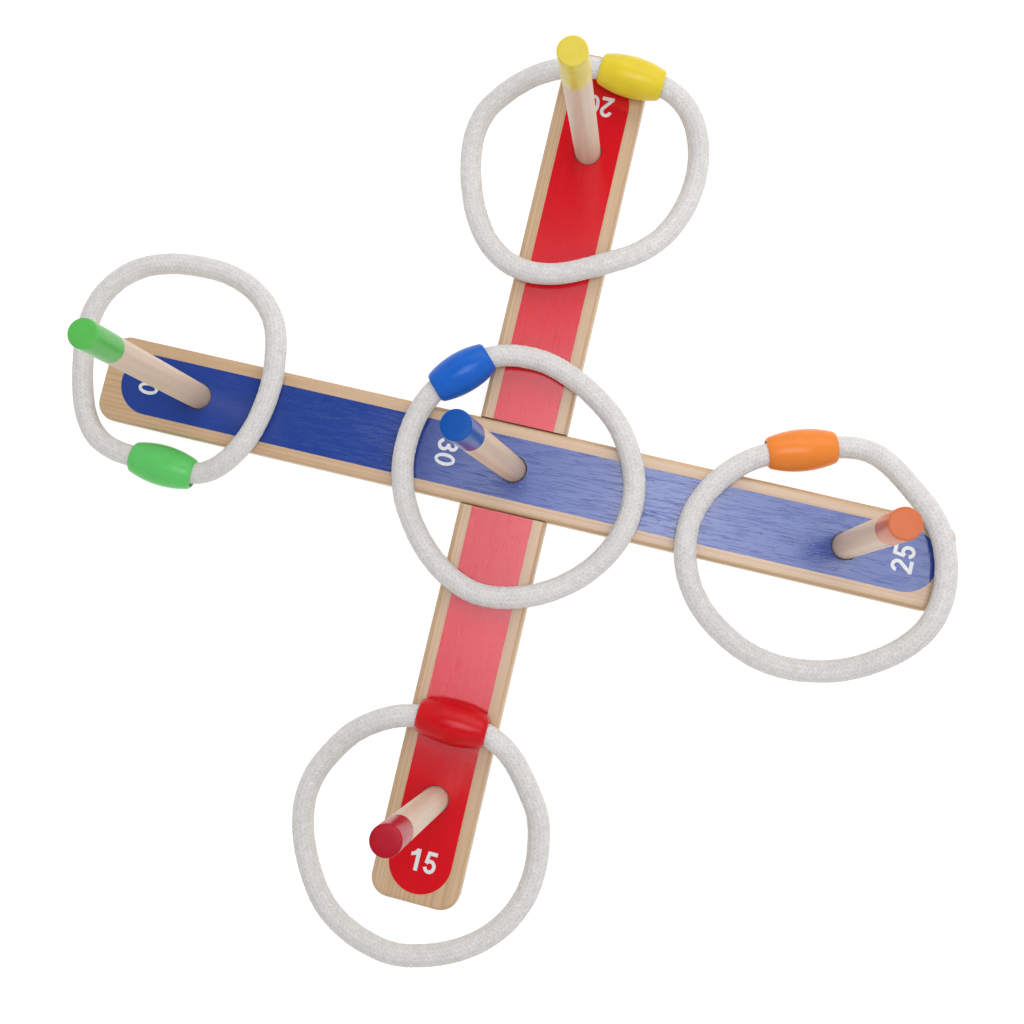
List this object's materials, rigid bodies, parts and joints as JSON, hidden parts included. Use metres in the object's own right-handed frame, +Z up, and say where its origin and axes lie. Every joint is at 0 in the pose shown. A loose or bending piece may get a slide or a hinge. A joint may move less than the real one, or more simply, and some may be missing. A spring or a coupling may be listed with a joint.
{
  "type": "ring toss set",
  "caption": "Wooden cross of halved boards with upright scoring pegs, and braided rope rings closed by barrel beads, laid round the pegs for tossing.",
  "frame": {"origin": "on the floor, under the middle of the cross", "axes": "+Z up; +X along the blue board towards the 25 peg; +Y along the red board towards the 20 peg"},
  "size_m": [0.5309, 0.5371, 0.2161],
  "materials": {
    "board_wood": "pale wood, smooth",
    "peg_wood": "pale wood, smooth",
    "cotton_rope": "braided off-white cotton",
    "stripe_red": "gloss red paint on wood",
    "stripe_blue": "gloss blue paint on wood",
    "number_white": "printed white paint",
    "bead_green": "gloss paint, taken to be on wood",
    "bead_yellow": "gloss paint, taken to be on wood",
    "bead_blue": "gloss paint, taken to be on wood",
    "bead_orange": "gloss paint, taken to be on wood",
    "bead_red": "gloss paint, taken to be on wood",
    "tip_green": "painted peg end",
    "tip_yellow": "painted peg end",
    "tip_blue": "painted peg end",
    "tip_orange": "painted peg end",
    "tip_red": "painted peg end"
  },
  "bodies": {
    "lower_board": {"board_red": "board_wood"},
    "upper_board": {"board_blue": "board_wood"},
    "peg_10": {"peg_10": "peg_wood"},
    "peg_15": {"peg_15": "peg_wood"},
    "peg_20": {"peg_20": "peg_wood"},
    "peg_25": {"peg_25": "peg_wood"},
    "peg_30": {"peg_30": "peg_wood"},
    "ring_green": {"ring_green_rope": "cotton_rope", "ring_green_bead": "bead_green"},
    "ring_yellow": {"ring_yellow_rope": "cotton_rope", "ring_yellow_bead": "bead_yellow"},
    "ring_blue": {"ring_blue_rope": "cotton_rope", "ring_blue_bead": "bead_blue"},
    "ring_orange": {"ring_orange_rope": "cotton_rope", "ring_orange_bead": "bead_orange"},
    "ring_red": {"ring_red_rope": "cotton_rope", "ring_red_bead": "bead_red"}
  },
  "joints": [
    {"name": "upper_board_lift", "type": "slide", "parent": "lower_board", "child": "upper_board", "axis": [0, 0, 1], "range_m": [0, 0.03]},
    {"name": "peg_10_pull", "type": "slide", "parent": "upper_board", "child": "peg_10", "axis": [-0.0105, 0.0175, 0.9998], "range_m": [0, 0.02]},
    {"name": "peg_15_pull", "type": "slide", "parent": "lower_board", "child": "peg_15", "axis": [0.0052, 0.0279, 0.9996], "range_m": [0, 0.02]},
    {"name": "peg_20_pull", "type": "slide", "parent": "lower_board", "child": "peg_20", "axis": [0.0017, -0.0419, 0.9991], "range_m": [0, 0.02]},
    {"name": "peg_25_pull", "type": "slide", "parent": "upper_board", "child": "peg_25", "axis": [0, 0.0122, 0.9999], "range_m": [0, 0.02]},
    {"name": "peg_30_pull", "type": "slide", "parent": "upper_board", "child": "peg_30", "axis": [-0.0576, 0.0035, 0.9983], "range_m": [0, 0.02]},
    {"name": "ring_green_lift", "type": "slide", "parent": "upper_board", "child": "ring_green", "axis": [0, 0, 1], "range_m": [0, 0.22]},
    {"name": "ring_yellow_lift", "type": "slide", "parent": "lower_board", "child": "ring_yellow", "axis": [0, 0, 1], "range_m": [0, 0.22]},
    {"name": "ring_blue_lift", "type": "slide", "parent": "upper_board", "child": "ring_blue", "axis": [0, 0, 1], "range_m": [0, 0.22]},
    {"name": "ring_orange_lift", "type": "slide", "parent": "upper_board", "child": "ring_orange", "axis": [0, 0, 1], "range_m": [0, 0.22]},
    {"name": "ring_red_lift", "type": "slide", "parent": "lower_board", "child": "ring_red", "axis": [0, 0, 1], "range_m": [0, 0.22]}
  ]
}
